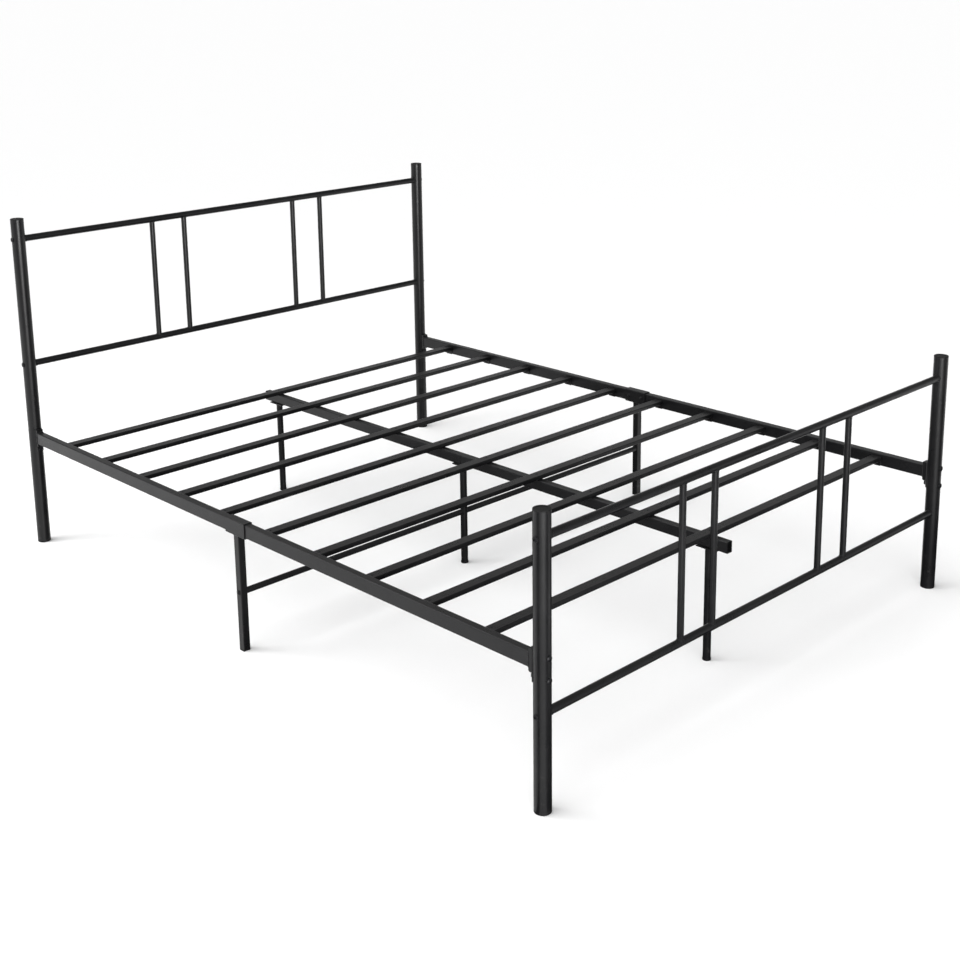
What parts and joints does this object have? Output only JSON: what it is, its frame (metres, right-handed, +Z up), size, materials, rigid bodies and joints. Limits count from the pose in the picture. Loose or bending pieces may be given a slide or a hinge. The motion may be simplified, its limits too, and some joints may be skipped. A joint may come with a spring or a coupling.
{
  "type": "bed frame",
  "caption": "Metal bed frame with a round-tube headboard and footboard, bolted side rails, and slats on a centre beam with inner legs.",
  "frame": {"origin": "middle of the frame on the floor, halfway between the four posts", "axes": "+Z up, +Y from the footboard to the headboard, +X to the right seen from the foot"},
  "size_m": [1.5904, 2.1254, 0.99],
  "materials": {
    "powder_coat": "satin black powder coat on steel tube",
    "moulded_plastic": "moulded black plastic, fine grain",
    "black_bolts": "black oxide steel, satin"
  },
  "bodies": {
    "root": {"footboard_post_left": "powder_coat", "footboard_post_right": "powder_coat", "headboard_post_left": "powder_coat", "headboard_post_right": "powder_coat", "footboard_post_caps": "moulded_plastic", "headboard_post_caps": "moulded_plastic", "footboard_post_feet": "moulded_plastic", "headboard_post_feet": "moulded_plastic", "footboard_top_bar": "powder_coat", "headboard_top_bar": "powder_coat", "footboard_lower_bar": "powder_coat", "headboard_lower_bar": "powder_coat", "footboard_spindle_1": "powder_coat", "footboard_spindle_2": "powder_coat", "footboard_spindle_3": "powder_coat", "footboard_spindle_4": "powder_coat", "headboard_spindle_1": "powder_coat", "headboard_spindle_2": "powder_coat", "headboard_spindle_3": "powder_coat", "headboard_spindle_4": "powder_coat", "bar_end_inserts": "powder_coat", "footboard_rail_bracket_left": "powder_coat", "footboard_rail_bracket_right": "powder_coat", "headboard_rail_bracket_left": "powder_coat", "headboard_rail_bracket_right": "powder_coat", "bracket_nuts": "black_bolts", "post_bolts": "black_bolts", "side_rail_left_foot": "powder_coat", "side_rail_left_head": "powder_coat", "side_rail_right_foot": "powder_coat", "side_rail_right_head": "powder_coat", "rail_sleeve_left": "powder_coat", "rail_sleeve_right": "powder_coat", "middle_leg_left": "powder_coat", "middle_leg_right": "powder_coat", "stretcher_left": "powder_coat", "stretcher_right": "powder_coat", "stretcher_bolts": "black_bolts", "middle_leg_feet": "moulded_plastic", "centre_beam_foot": "powder_coat", "centre_beam_head": "powder_coat", "centre_beam_insert": "powder_coat", "centre_leg_foot": "powder_coat", "centre_leg_middle": "powder_coat", "centre_leg_head": "powder_coat", "centre_leg_feet": "moulded_plastic", "frame_bolts": "black_bolts", "slat_1": "powder_coat", "slat_2": "powder_coat", "slat_3": "powder_coat", "slat_4": "powder_coat", "slat_5": "powder_coat", "slat_6": "powder_coat", "slat_7": "powder_coat", "slat_8": "powder_coat", "slat_9": "powder_coat", "slat_10": "powder_coat", "slat_end_caps": "moulded_plastic", "slat_tabs": "powder_coat", "slat_screws": "black_bolts"}
  },
  "joints": []
}
